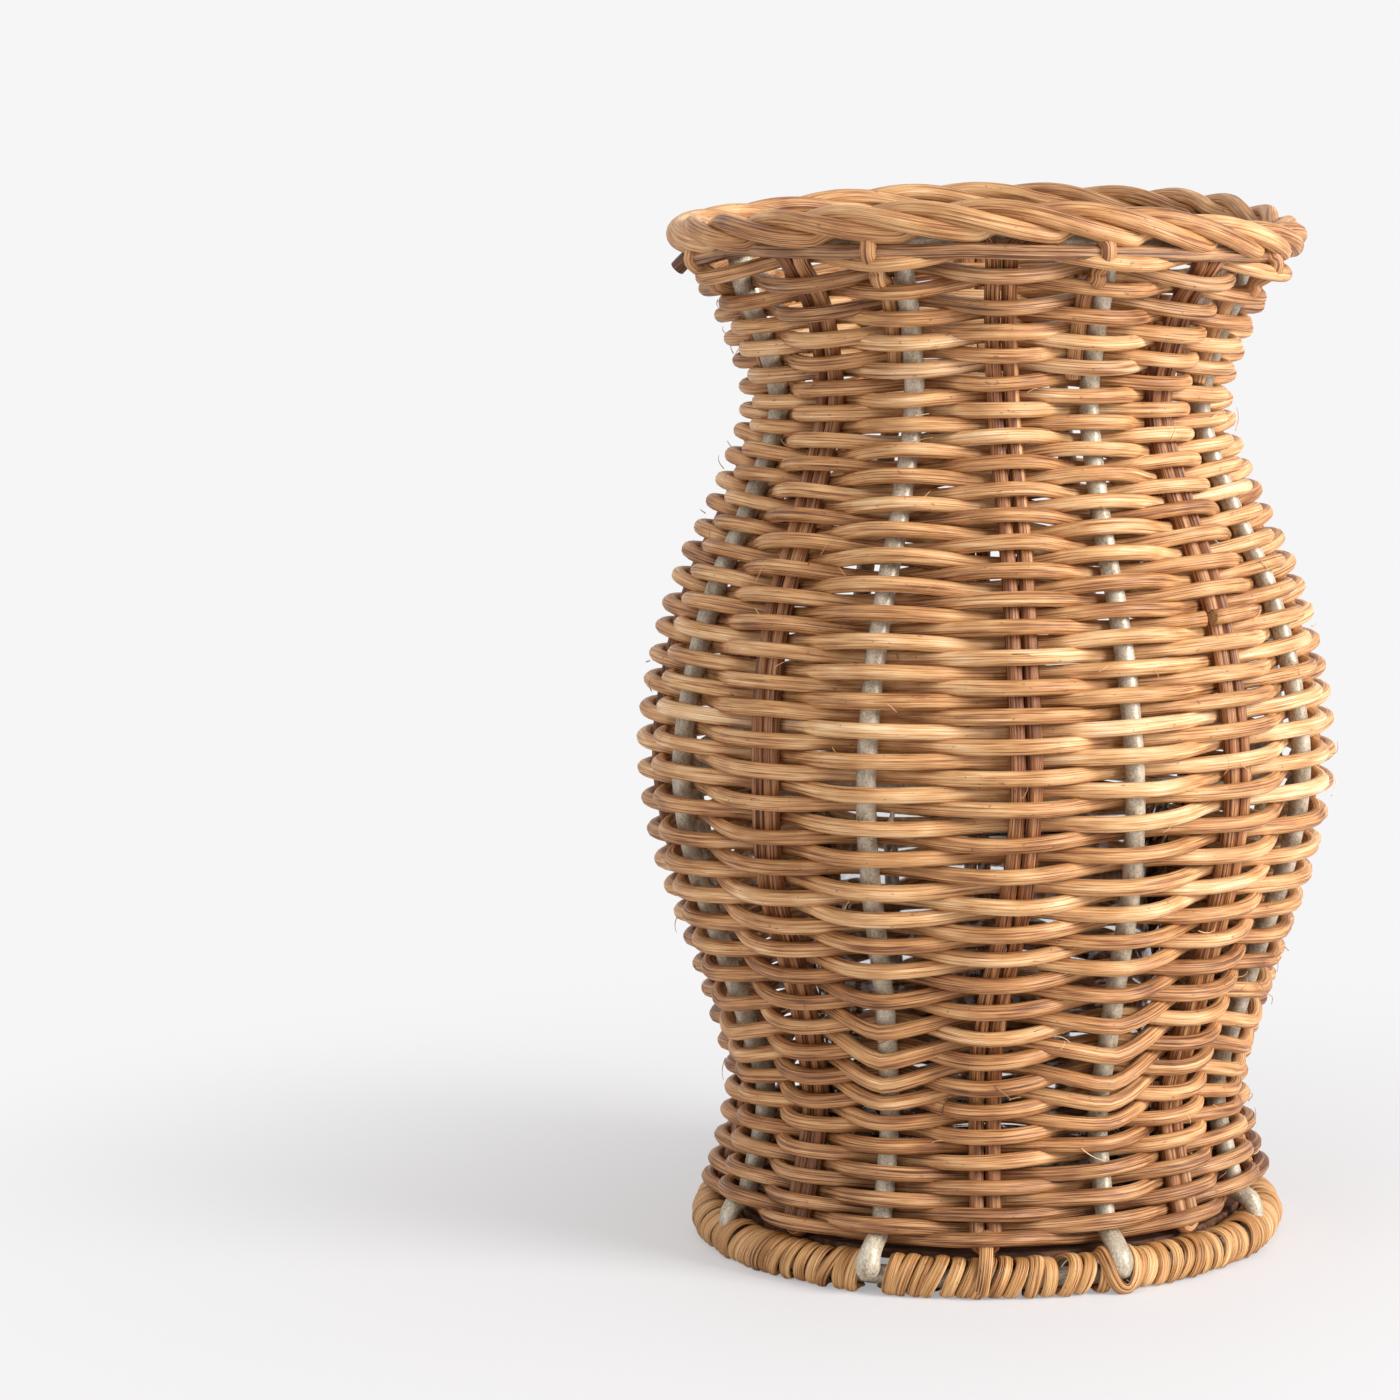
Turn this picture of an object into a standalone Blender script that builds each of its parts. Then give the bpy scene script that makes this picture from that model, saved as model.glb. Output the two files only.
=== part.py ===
"""A rattan vase woven round a welded steel frame, with a glass liner that lifts out.

Metres, +Z up, origin at the middle of the bottom. The front is towards -Y. Eight steel rods
stand 45 degrees apart, with a pair of rattan stakes midway between each two. Two families of
weavers climb round them half a turn apart, and the upper ends of the stakes are laid over
into a rope border that lies against the top ring.
"""

import math

import bmesh
import bpy
import numpy as np

# Steel frame
ROD_COUNT = 8
FIRST_ROD_ANGLE = math.radians(-65)
ROD_DIAMETER = 0.0042
TOP_RING_RADIUS = 0.0572
TOP_RING_HEIGHT = 0.2160
BASE_RING_RADIUS = 0.0600
ROD_END_HEIGHT = 0.0030
ROD_KINK_RISE = 0.0025
ROD_TOP_STRAIGHT = 0.0032

# Outline of the stakes' centre lines. Its foot follows the base ring, and its top the top ring.
FOOT_INSIDE_RING = 0.0021
WAIST = (0.0350, 0.0524)
BELLY = (0.1050, 0.0710)
NECK_BELOW_RING = 0.0350
NECK_RADIUS = 0.0481
BRIM_BELOW_RING = 0.0085
BRIM_INSIDE_RING = 0.0007
COLLAR_BELOW_RING = 0.0030
COLLAR_OUTSIDE_RING = 0.0047

# Shape between turning points: share of the rise, share of the change in radius
FOOT_TO_WAIST = ((0.36, 0.52),)
WAIST_TO_BELLY = ((0.21, 0.21), (0.46, 0.51), (0.73, 0.85))
BELLY_TO_NECK = ((0.26, 0.11), (0.51, 0.35), (0.75, 0.72))
NECK_TO_BRIM = ((0.57, 0.37),)

# Rattan stakes
STAKE_DIAMETER = 0.0030
PAIR_GAP = 0.0005
BEND_BELOW_FIRST_ROW = 0.0005
SIDE_STAKE_BELOW_RING = 0.0280

# Rattan weavers: the two families lie between each other, half a turn apart
WEAVER_WIDTH = 0.0034
WEAVER_HEIGHT = 0.0024
FIRST_ROW = 0.0120
LAST_ROW_BELOW_RING = 0.0080
PITCH_AT_NECK = 0.0046
PITCH_AT_BELLY = 0.0062
ROW_SLIP_BELOW_BELLY = 0.30
ROW_SLIP_ABOVE_BELLY = 0.12
FULL_SLIP_SLOPE = 0.3
CANES_PER_FAMILY = 6

# Rim border: each stake end runs once round the middle of the rope
BORDER_OUTSIDE_RING = 0.0067
BORDER_ABOVE_RING = 0.0027
BORDER_LAY_RADIUS = 0.0032
BORDER_ENTRY = math.radians(225)
BORDER_TWIST = math.radians(36)
BORDER_ADVANCE = math.radians(7.5)
BORDER_STEPS = 9
LEG_SPLAY = 0.0010
RIM_LIFT = 0.0034

# Lashing of the base ring, and the floor
LASHING_RADIUS = 0.0045
LASHING_GROOVE = 0.92
LASHING_TURNS = 11
REST_CUT = 0.0005
FLOOR_THICKNESS = 0.0020

# Glass liner
GLASS_HEIGHT = 0.0860
GLASS_TOP_RADIUS = 0.0400
GLASS_BOTTOM_RADIUS = 0.0350
GLASS_WALL = 0.0022
GLASS_BASE = 0.0090
GLASS_LIP = 0.0008
GLASS_HEEL = 0.0030
GLASS_FACETS = 32

GAP = 0.0003
WELD_DISTANCE = 0.00001
RING_POINTS_PER_BAY = 4

RING_POINTS = RING_POINTS_PER_BAY * ROD_COUNT
STAKE_STEPS = 2 * ROD_COUNT
STEP_ANGLE = math.tau / STAKE_STEPS
ROD_RADIUS = ROD_DIAMETER / 2
LEG_RADIUS = STAKE_DIAMETER / 2
LEG_OFFSET = LEG_RADIUS + PAIR_GAP / 2
SIDE_OFFSET = ROD_RADIUS + LEG_RADIUS + GAP
FLAT_OF_SIX = math.cos(math.pi / 6)
BASE_RING_HEIGHT = LASHING_RADIUS * FLAT_OF_SIX - REST_CUT
ROD_FOOT_RADIUS = BASE_RING_RADIUS + 2 * ROD_RADIUS + GAP
LAST_ROW = TOP_RING_HEIGHT - LAST_ROW_BELOW_RING
SIDE_STAKE_BOTTOM = TOP_RING_HEIGHT - SIDE_STAKE_BELOW_RING
BORDER_RADIUS = TOP_RING_RADIUS + BORDER_OUTSIDE_RING
BORDER_HEIGHT = TOP_RING_HEIGHT + BORDER_ABOVE_RING

# Turning points of the outline: height, radius
FOOT = (FIRST_ROW, BASE_RING_RADIUS - FOOT_INSIDE_RING)
NECK = (TOP_RING_HEIGHT - NECK_BELOW_RING, NECK_RADIUS)
BRIM = (TOP_RING_HEIGHT - BRIM_BELOW_RING, TOP_RING_RADIUS - BRIM_INSIDE_RING)
COLLAR = (TOP_RING_HEIGHT - COLLAR_BELOW_RING, TOP_RING_RADIUS + COLLAR_OUTSIDE_RING)

GREY_STEEL = ((0.40, 0.36, 0.30), 0.55, 0.0)
HONEY_CANE = ((0.58, 0.33, 0.15), 0.60, 0.0)
PALE_CANE = ((0.68, 0.44, 0.22), 0.60, 0.0)
BROWN_CANE = ((0.33, 0.14, 0.06), 0.60, 0.0)
BOARD_BROWN = ((0.20, 0.11, 0.06), 0.70, 0.0)
CLEAR_GLASS = ((0.90, 0.94, 0.95), 0.05, 0.0)


def clear_scene():
    for item in list(bpy.data.objects):
        bpy.data.objects.remove(item, do_unlink=True)


def new_collection(name):
    made = bpy.data.collections.new(name)
    bpy.context.scene.collection.children.link(made)
    return made


def new_material(name, look):
    colour, roughness, metallic = look
    made = bpy.data.materials.new(name)
    made.use_nodes = True
    shader = made.node_tree.nodes["Principled BSDF"]
    shader.inputs["Base Color"].default_value = (*colour, 1.0)
    shader.inputs["Roughness"].default_value = roughness
    shader.inputs["Metallic"].default_value = metallic
    return made


def outline_points():
    """The stakes' outline as rising (height, radius) points, straight between them."""
    spans = (
        (FOOT, WAIST, FOOT_TO_WAIST),
        (WAIST, BELLY, WAIST_TO_BELLY),
        (BELLY, NECK, BELLY_TO_NECK),
        (NECK, BRIM, NECK_TO_BRIM),
        (BRIM, COLLAR, ()),
    )
    points = [FOOT]
    for (low, low_radius), (high, high_radius), shares in spans:
        for rise, change in shares:
            height = low + rise * (high - low)
            points.append((height, low_radius + change * (high_radius - low_radius)))
        points.append((high, high_radius))
    return points


OUTLINE = outline_points()
HEIGHTS = np.array([height for height, _ in OUTLINE])
RADII = np.array([radius for _, radius in OUTLINE])
SLOPES = np.gradient(RADII, HEIGHTS)


def stake_radius(height):
    return float(np.interp(height, HEIGHTS, RADII))


def outline_slope(height):
    return float(np.interp(height, HEIGHTS, SLOPES))


def rod_outline():
    """A rod's centre line: kinked out to the base ring, then the outline, then up to the top ring."""
    points = [
        (ROD_END_HEIGHT, ROD_FOOT_RADIUS),
        (BASE_RING_HEIGHT + ROD_KINK_RISE, ROD_FOOT_RADIUS),
    ]
    leave = BRIM[0] - ROD_DIAMETER
    points += [point for point in OUTLINE if point[0] < leave - GAP]
    points.append((leave, stake_radius(leave)))
    top = TOP_RING_HEIGHT - ROD_RADIUS - GAP
    points.append((top - ROD_TOP_STRAIGHT, TOP_RING_RADIUS))
    points.append((top, TOP_RING_RADIUS))
    return points


ROD_OUTLINE = rod_outline()


def rod_radius(height):
    heights = [point[0] for point in ROD_OUTLINE]
    radii = [point[1] for point in ROD_OUTLINE]
    return float(np.interp(height, heights, radii))


def place(radius, angle, height):
    """A point on the vase. The hand-bent rim stands higher at the front and back than at the sides."""
    lift = -RIM_LIFT * (height / BORDER_HEIGHT) ** 4 * math.cos(2 * angle)
    return (radius * math.cos(angle), radius * math.sin(angle), height + lift)


def curve_object(name, points, material, home, cyclic=False, radii=None):
    """A curve through the points, still without a thickness, whose section stays upright."""
    curve = bpy.data.curves.new(name, "CURVE")
    curve.dimensions = "3D"
    curve.twist_mode = "Z_UP"
    curve.use_fill_caps = not cyclic
    spline = curve.splines.new("POLY")
    spline.points.add(len(points) - 1)
    spline.use_cyclic_u = cyclic
    for index, point in enumerate(points):
        spline.points[index].co = (*point, 1.0)
        spline.points[index].radius = radii[index] if radii else 1.0
    if material:
        curve.materials.append(material)
    made = bpy.data.objects.new(name, curve)
    home.objects.link(made)
    return made


def tube(name, points, radius, material, home, cyclic=False, fineness=1, radii=None):
    made = curve_object(name, points, material, home, cyclic, radii)
    made.data.bevel_depth = radius
    made.data.bevel_resolution = fineness
    return made


def as_mesh(item, home):
    """The same object as a welded mesh, so that it can be cut."""
    bpy.context.view_layer.update()
    graph = bpy.context.evaluated_depsgraph_get()
    mesh = bpy.data.meshes.new_from_object(item.evaluated_get(graph))
    work = bmesh.new()
    work.from_mesh(mesh)
    bmesh.ops.remove_doubles(work, verts=work.verts, dist=WELD_DISTANCE)
    bmesh.ops.recalc_face_normals(work, faces=work.faces)
    work.to_mesh(mesh)
    work.free()
    name = item.name
    matrix = item.matrix_world.copy()
    bpy.data.objects.remove(item, do_unlink=True)
    made = bpy.data.objects.new(name, mesh)
    made.matrix_world = matrix
    home.objects.link(made)
    return made


def hide_guide(item):
    item.hide_render = True
    item.display_type = "WIRE"


def cut(item, cutter):
    trim = item.modifiers.new("Cut " + cutter.name, "BOOLEAN")
    trim.operation = "DIFFERENCE"
    trim.object = cutter


def rod_angle(index):
    return FIRST_ROD_ANGLE + 2 * STEP_ANGLE * index


def build_rods(home, material):
    for index in range(ROD_COUNT):
        points = [place(radius, rod_angle(index), height) for height, radius in ROD_OUTLINE]
        tube(f"frame_rod_{index + 1}", points, ROD_RADIUS, material, home)


def ring(name, radius, height, material, home):
    angles = [FIRST_ROD_ANGLE + math.tau * index / RING_POINTS for index in range(RING_POINTS)]
    points = [place(radius, angle, height) for angle in angles]
    return tube(name, points, ROD_RADIUS, material, home, cyclic=True)


def row_pitch(height):
    """Rows lie further apart where the vase is wider."""
    share = (stake_radius(height) - NECK[1]) / (BELLY[1] - NECK[1])
    return PITCH_AT_NECK + share * (PITCH_AT_BELLY - PITCH_AT_NECK)


def row_heights():
    """The climbing row's height at each stake it passes."""
    heights = [FIRST_ROW]
    while heights[-1] < LAST_ROW:
        heights.append(heights[-1] + row_pitch(heights[-1]) / STAKE_STEPS)
    return heights[:-1]


def weaver_scale(height):
    """A weaver is drawn thinner where the rows lie closer."""
    return row_pitch(height) / PITCH_AT_BELLY


def swings(height, beside=False):
    """How far a weaver's centre line stands off the line of the stakes, at a rod and at a pair,
    so that its slanting sides and its upper and lower edges clear them."""
    scale = weaver_scale(height)
    edge = 0.5 * WEAVER_HEIGHT * scale
    here = stake_radius(height)
    bulge = max(abs(stake_radius(height + edge) - here), abs(stake_radius(height - edge) - here))
    margin = 2 * GAP + 0.5 * WEAVER_WIDTH * scale + bulge
    run = here * STEP_ANGLE - (SIDE_OFFSET if beside else 0.0)
    at_rod = at_pair = margin
    for _ in range(6):
        lean = math.atan2(at_rod + at_pair, run)
        at_rod = (ROD_RADIUS + margin) / math.cos(lean)
        at_pair = (LEG_RADIUS + margin) / math.cos(lean) + LEG_OFFSET * math.tan(lean)
    return at_rod, at_pair


def weaver_points(step, height, over_rods):
    """Where a weaver passes stake number step, at the outside or the inside of it. It goes round
    a rod and its side stake together, so it has two points there."""
    at_rod = step % 2 == 0
    outside = at_rod == over_rods
    angle = FIRST_ROD_ANGLE + STEP_ANGLE * step
    most = ROW_SLIP_BELOW_BELLY if height < BELLY[0] else ROW_SLIP_ABOVE_BELLY
    slip = most * row_pitch(height) * np.clip(outline_slope(height) / FULL_SLIP_SLOPE, -1, 1)
    height += float(-slip if at_rod else slip)
    beside = height > SIDE_STAKE_BOTTOM - WEAVER_HEIGHT
    offset = swings(height, beside)[0 if at_rod else 1]
    lines = [stake_radius(height)] + ([rod_radius(height)] if at_rod else [])
    radius = max(lines) + offset if outside else min(lines) - offset
    points = [np.array(place(radius, angle, height))]
    if at_rod and beside:
        points.insert(0, np.array(place(radius, angle - SIDE_OFFSET / radius, height)))
    return points


def build_weavers(home, guides, material):
    """Two families of canes, end to end. The second family runs half a turn ahead."""
    side = 0.5 * WEAVER_WIDTH
    half = 0.5 * WEAVER_HEIGHT
    section = [(-side, half, 0), (side, half, 0), (side, -half, 0), (-side, -half, 0)]
    profile = curve_object("weaver_section", section, None, guides, cyclic=True)
    hide_guide(profile)
    heights = row_heights()
    for family, over_rods, ahead in (("a", True, ROD_COUNT), ("b", False, 0)):
        steps = len(heights) - ahead
        first = 1 if over_rods else 0
        count = (steps - 1 - first) // 2
        for cane in range(CANES_PER_FAMILY):
            start = first + 2 * (count * cane // CANES_PER_FAMILY)
            end = first + 2 * (count * (cane + 1) // CANES_PER_FAMILY)
            points = []
            radii = []
            for step in range(start, end + 1):
                height = heights[step + ahead]
                passing = weaver_points(step, height, over_rods)
                points += passing
                radii += [weaver_scale(height)] * len(passing)
            for end_point, inner in ((0, 1), (-1, -2)):
                along = points[inner] - points[end_point]
                points[end_point] = points[end_point] + along * (2 * GAP / np.linalg.norm(along))
            name = f"weaver_{family}_{cane + 1}"
            made = curve_object(name, [tuple(p) for p in points], material, home, radii=radii)
            made.data.bevel_mode = "OBJECT"
            made.data.bevel_object = profile


def border_strand(stake_angle, slot_angle):
    """A stake's upper end: out past the top ring, then once round in the rope border."""
    height, radius = COLLAR
    points = [place(radius, stake_angle, height)]
    for step in range(BORDER_STEPS):
        turn = BORDER_ENTRY - BORDER_TWIST * step
        angle = slot_angle + BORDER_ADVANCE * step
        if angle >= stake_angle:
            out = BORDER_RADIUS + BORDER_LAY_RADIUS * math.cos(turn)
            up = BORDER_HEIGHT + BORDER_LAY_RADIUS * math.sin(turn)
            points.append(place(out, angle, up))
    return points


def stake_leg(angle, offset, bottom):
    """A stake up to the collar, a fixed distance to one side of the line at the angle."""
    points = [place(stake_radius(bottom), angle + offset / stake_radius(bottom), bottom)]
    for height, radius in OUTLINE:
        if bottom + GAP < height < COLLAR[0] - GAP:
            points.append(place(radius, angle + offset / radius, height))
    return points


def build_pairs(home, material):
    """Each pair is one cane: up one leg into the border, and back down the other."""
    bend = FIRST_ROW - BEND_BELOW_FIRST_ROW
    radius = stake_radius(bend)
    reach = LEG_OFFSET * math.cos(math.pi / 4)
    for index in range(ROD_COUNT):
        middle = rod_angle(index) + STEP_ANGLE
        legs = []
        for side in (-1, 1):
            points = stake_leg(middle, side * LEG_OFFSET, bend)
            top_angle = middle + side * (LEG_OFFSET / BRIM[1] + LEG_SPLAY / COLLAR[1])
            legs.append(points + border_strand(top_angle, middle + side * STEP_ANGLE / 3))
        left, right = legs
        turn = [
            place(radius, middle - reach / radius, bend - reach),
            place(radius, middle, bend - LEG_OFFSET),
            place(radius, middle + reach / radius, bend - reach),
        ]
        points = left[::-1] + turn + right
        tube(f"stake_pair_{index + 1}", points, LEG_RADIUS, material, home, fineness=0)


def build_side_stakes(home, material):
    """One more stake stands at one side of each rod, from above the neck into the border."""
    for index in range(ROD_COUNT):
        rod = rod_angle(index)
        points = stake_leg(rod, -SIDE_OFFSET, SIDE_STAKE_BOTTOM)
        points += border_strand(rod - SIDE_OFFSET / BRIM[1], rod)
        tube(f"side_stake_{index + 1}", points, LEG_RADIUS, material, home, fineness=0)


def build_ground_cut(guides):
    """A block under the vase, which cuts the lashing flat where it stands."""
    bpy.ops.mesh.primitive_cube_add(size=1.0, location=(0, 0, -0.5 * LASHING_RADIUS))
    ground = bpy.context.object
    ground.name = "ground_cut"
    ground.scale = (3 * BASE_RING_RADIUS, 3 * BASE_RING_RADIUS, LASHING_RADIUS)
    move_to(ground, guides)
    hide_guide(ground)
    return ground


def build_ring_bore(index, guides):
    """A plain tube round one bay of the base ring, with its points where the ring's are."""
    points = []
    for step in range(RING_POINTS_PER_BAY + 1):
        angle = rod_angle(index) + math.tau * step / RING_POINTS
        points.append(place(BASE_RING_RADIUS, angle, BASE_RING_HEIGHT))
    bore_radius = (ROD_RADIUS + GAP) / FLAT_OF_SIX
    bore = as_mesh(tube(f"ring_bore_{index + 1}", points, bore_radius, None, guides), guides)
    hide_guide(bore)
    return bore


def build_lashing(home, guides, material):
    """One stretch between each two rod feet, a rib to a turn, bored for the base ring."""
    clear_of_foot = (ROD_RADIUS + 1.5 * GAP) / BASE_RING_RADIUS
    ground = build_ground_cut(guides)
    steps = 2 * LASHING_TURNS
    for index in range(ROD_COUNT):
        start = rod_angle(index) + clear_of_foot
        end = rod_angle(index + 1) - clear_of_foot
        points = []
        radii = []
        for step in range(steps + 1):
            angle = start + (end - start) * step / steps
            points.append(place(BASE_RING_RADIUS, angle, BASE_RING_HEIGHT))
            radii.append(1.0 if step % 2 else LASHING_GROOVE)
        name = f"base_lashing_{index + 1}"
        made = as_mesh(tube(name, points, LASHING_RADIUS, material, home, radii=radii), home)
        cut(made, build_ring_bore(index, guides))
        cut(made, ground)


def move_to(item, home):
    for other in list(item.users_collection):
        other.objects.unlink(item)
    home.objects.link(item)


def build_floor(home, material):
    """A round board inside the lashed ring, resting on its inner shoulder."""
    radius = FOOT[1] - LEG_RADIUS - 2 * GAP
    reach = BASE_RING_RADIUS - radius
    rest = BASE_RING_HEIGHT + math.sqrt((LASHING_RADIUS + GAP) ** 2 - reach**2)
    middle = rest + FLOOR_THICKNESS / 2
    bpy.ops.mesh.primitive_cylinder_add(
        vertices=RING_POINTS, radius=radius, depth=FLOOR_THICKNESS, location=(0, 0, middle)
    )
    board = bpy.context.object
    board.name = "floor_board"
    board.data.materials.append(material)
    move_to(board, home)
    return rest + FLOOR_THICKNESS


def build_glass(home, material, bottom):
    """A turned tumbler: its profile runs down the outside, then back up the inside."""
    taper = (GLASS_TOP_RADIUS - GLASS_BOTTOM_RADIUS) / GLASS_HEIGHT
    floor_radius = GLASS_BOTTOM_RADIUS + taper * GLASS_BASE - GLASS_WALL
    profile = [
        (GLASS_TOP_RADIUS - GLASS_LIP, GLASS_HEIGHT),
        (GLASS_TOP_RADIUS, GLASS_HEIGHT - GLASS_LIP),
        (GLASS_BOTTOM_RADIUS + taper * GLASS_HEEL, GLASS_HEEL),
        (GLASS_BOTTOM_RADIUS - GLASS_HEEL / 2, 0.0),
        (0.0, 0.0),
        (0.0, GLASS_BASE),
        (floor_radius - GLASS_HEEL, GLASS_BASE),
        (floor_radius, GLASS_BASE + GLASS_HEEL),
        (GLASS_TOP_RADIUS - GLASS_WALL, GLASS_HEIGHT - GLASS_LIP),
        (GLASS_TOP_RADIUS - GLASS_WALL + GLASS_LIP / 2, GLASS_HEIGHT),
    ]
    inner_start = profile.index((0.0, GLASS_BASE))
    edges = [(end - 1, end) for end in range(1, len(profile)) if end != inner_start]
    edges.append((len(profile) - 1, 0))
    mesh = bpy.data.meshes.new("glass_liner")
    mesh.from_pydata([(radius, 0.0, height) for radius, height in profile], edges, [])
    glass = bpy.data.objects.new("glass_liner", mesh)
    glass.location = (0, 0, bottom + GAP)
    glass.data.materials.append(material)
    home.objects.link(glass)
    turn = glass.modifiers.new("Turn", "SCREW")
    turn.angle = math.tau
    turn.steps = GLASS_FACETS
    turn.render_steps = GLASS_FACETS
    turn.use_merge_vertices = True
    turn.merge_threshold = WELD_DISTANCE
    turn.use_smooth_shade = True


def build():
    clear_scene()
    vase = new_collection("Rattan vase")
    guides = new_collection("Guides and cutters")
    steel = new_material("Powder-coated steel", GREY_STEEL)
    build_rods(vase, steel)
    ring("base_ring", BASE_RING_RADIUS, BASE_RING_HEIGHT, steel, vase)
    ring("top_ring", TOP_RING_RADIUS, TOP_RING_HEIGHT, steel, vase)
    hoop_offset = swings(BELLY[0])[0] + 0.5 * WEAVER_WIDTH + GAP + ROD_RADIUS
    ring("belly_hoop", BELLY[1] - hoop_offset, BELLY[0], steel, vase)
    build_weavers(vase, guides, new_material("Honey rattan cane", HONEY_CANE))
    build_pairs(vase, new_material("Brown rattan stake", BROWN_CANE))
    build_side_stakes(vase, new_material("Light rattan stake", PALE_CANE))
    build_lashing(vase, guides, new_material("Split rattan lashing", PALE_CANE))
    floor_top = build_floor(vase, new_material("Brown board", BOARD_BROWN))
    build_glass(vase, new_material("Clear glass", CLEAR_GLASS), floor_top)


build()
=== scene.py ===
import math
from collections import namedtuple

import bpy
import numpy as np
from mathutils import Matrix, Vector


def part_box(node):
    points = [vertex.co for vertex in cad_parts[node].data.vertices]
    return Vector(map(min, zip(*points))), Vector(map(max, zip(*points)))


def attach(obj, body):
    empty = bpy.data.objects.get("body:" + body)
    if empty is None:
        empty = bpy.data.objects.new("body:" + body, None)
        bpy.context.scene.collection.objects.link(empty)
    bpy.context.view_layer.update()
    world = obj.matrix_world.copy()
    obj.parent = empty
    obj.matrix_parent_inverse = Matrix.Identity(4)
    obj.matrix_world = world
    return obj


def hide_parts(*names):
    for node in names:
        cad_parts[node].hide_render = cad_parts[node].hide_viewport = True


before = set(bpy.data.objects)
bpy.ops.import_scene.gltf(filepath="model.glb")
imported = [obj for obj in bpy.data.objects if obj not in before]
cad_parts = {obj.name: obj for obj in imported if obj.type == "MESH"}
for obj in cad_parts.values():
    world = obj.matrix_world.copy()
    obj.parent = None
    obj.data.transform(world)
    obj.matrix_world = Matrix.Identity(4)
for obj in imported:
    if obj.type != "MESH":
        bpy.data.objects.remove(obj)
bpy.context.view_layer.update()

# All lengths are in metres, heights above the table and radii from the vase's axis
MILLIMETRE = 0.001

# Stakes: rods at the even steps round the vase, pairs at the odd ones, from the first rod on
ROD_COUNT = 8
STAKE_STEPS = 2 * ROD_COUNT
STEP_ANGLE = math.tau / STAKE_STEPS
FIRST_ROD_ANGLE = math.radians(-65)
FRONT_RODS = (0, 14)
ROD_RADIUS = 0.0021
# A pair's two legs stand to the sides of its step, and a side stake to the left of its rod
LEG_RADIUS = 0.00166
LEG_OFFSET = 0.00174
SIDE_OFFSET = ROD_RADIUS + LEG_RADIUS + 0.0002

# Outline of the stakes' centre lines: height and radius
OUTLINE = (
    (0.0060, 0.0600), (0.0090, 0.0585), (0.0207, 0.0548), (0.0350, 0.0524), (0.0497, 0.0563),
    (0.0672, 0.0619), (0.0861, 0.0682), (0.1050, 0.0710), (0.1248, 0.0685), (0.1438, 0.0630),
    (0.1620, 0.0545), (0.1810, 0.0481), (0.1961, 0.0512), (0.2075, 0.0565), (0.2130, 0.0619),
)

# How far, in millimetres, the stakes that face front wander to the side at these heights
WANDER_HEIGHTS = (0.009, 0.033, 0.057, 0.081, 0.105, 0.129, 0.153, 0.177, 0.201)
WANDER = {
    13: (-1.7, -1.1, 1.7, 1.4, 3.3, 1.1, 0.0, -0.6, 2.2),
    14: (-2.8, -2.6, -0.9, -0.3, -0.3, 0.0, 0.8, 1.3, 2.6),
    15: (-2.8, -2.8, -2.0, 2.4, 4.8, 4.4, 3.4, 1.6, 0.4),
    0: (0.9, 1.1, 1.1, 0.8, 0.2, 0.0, -0.3, 0.7, 0.4),
    1: (-0.6, 0.0, 0.4, -0.4, -0.8, 0.0, 0.6, 0.4, 0.2),
}
# The most that the other stakes wander
LOOSE_WANDER = 1.1

# Steel frame. A rod follows the wall between two heights, and bends in under the top ring at a
# radius and height
ROD_SIDES = 14
ROD_WALL = (0.0122, 0.2035)
ROD_BEND = (0.0562, 0.2085)
ROD_TOP = 0.205
# A rod's foot, as radii and heights. The two at the front stand free of the lashing
FOOT_HEIGHT = 0.010
BARE_FOOT = ((0.0639, 0.0034), (0.0640, 0.0052), (0.0634, 0.0076), (0.0608, 0.0100))
WRAPPED_FOOT = ((0.0608, 0.0046), (0.0611, 0.0060), (0.0612, 0.0078), (0.0602, 0.0104))
# How much thicker a bare foot is at its weld, and the weld's height and width
WELD_SWELL = 0.0006
WELD = (0.0060, 0.0026)
TIE_WIRE_ANGLE = math.radians(-106.3)
TIE_WIRE_RADIUS = 0.00050

# Weave: the two families of canes lie half a turn, and so half a pitch, apart
PITCH_HEIGHTS = (
    0.012, 0.034, 0.056, 0.078, 0.098, 0.120, 0.150, 0.172, 0.187, 0.197, 0.202, 0.209,
)
PITCHES = (
    0.00510, 0.00582, 0.00564, 0.00574, 0.00686, 0.00583, 0.00525, 0.00512, 0.00600, 0.00528,
    0.00510, 0.00645,
)
FIRST_ROW = 0.0113
LEVEL_START = 0.0103
LEVEL_END = 0.2130
# The steps at which one cane ends and the next one starts
CANE_ENDS = {
    "a": (-7, 91, 189, 287, 385, 487, 585),
    "b": (-12, 78.625, 178, 276, 352.8, 466, 562),
}
# Family a moves outside all stakes between the first two steps, and back between the last two
LAST_TURN = (571, 573, 583, 585)
LAST_TURN_NARROWING = 0.0018
CANE_HALF_WIDTH = 0.00168
CANE_HALF_HEIGHT = 0.00163
CANE_GAP_AT_ROD = 0.00005
CANE_GAP_AT_PAIR = 0.00010
SAMPLES_PER_STEP = 8
CANE_SIDES = 12
# A cane that passes over a stake keeps these shares of the stake's lean, where the wall faces
# down and where it faces up
DOWN_LEAN = 0.45
UP_LEAN = 0.78
# How far a cane's start lies over the end of the one before it, and over how many steps
END_LIFT = 0.0008
END_LIFT_STEPS = 0.3
# Zones in which canes leave their even heights: middle and width
WAIST = (0.049, 0.015)
LEFT_WAIST = (0.051, 0.012)
HIGH_ROWS = (0.199, 0.008)
# A usual radius of the wall, by which steps become lengths of cane
ARC_RADIUS = 0.06

# Tone and brownness of the weavers. Their tone by height is painted shade and light
# darker low down, under the belly and at the top, and lightest round the belly
SHADE_TONE_HEIGHTS = (0.012, 0.040, 0.060, 0.085, 0.110, 0.140, 0.190, 0.200, 0.212)
SHADE_TONES = (-0.10, -0.05, -0.09, 0.00, 0.08, 0.03, 0.03, -0.03, -0.06)
# How brown the last rows of each family are, and the turns between which that sets in
HIGH_BROWN = {"a": (0.85, 36.0, 36.2), "b": (0.45, 33.4, 33.9)}
LOW_BROWN = 0.35
LOW_BROWN_TURNS = (2.2, 3.2)
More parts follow.
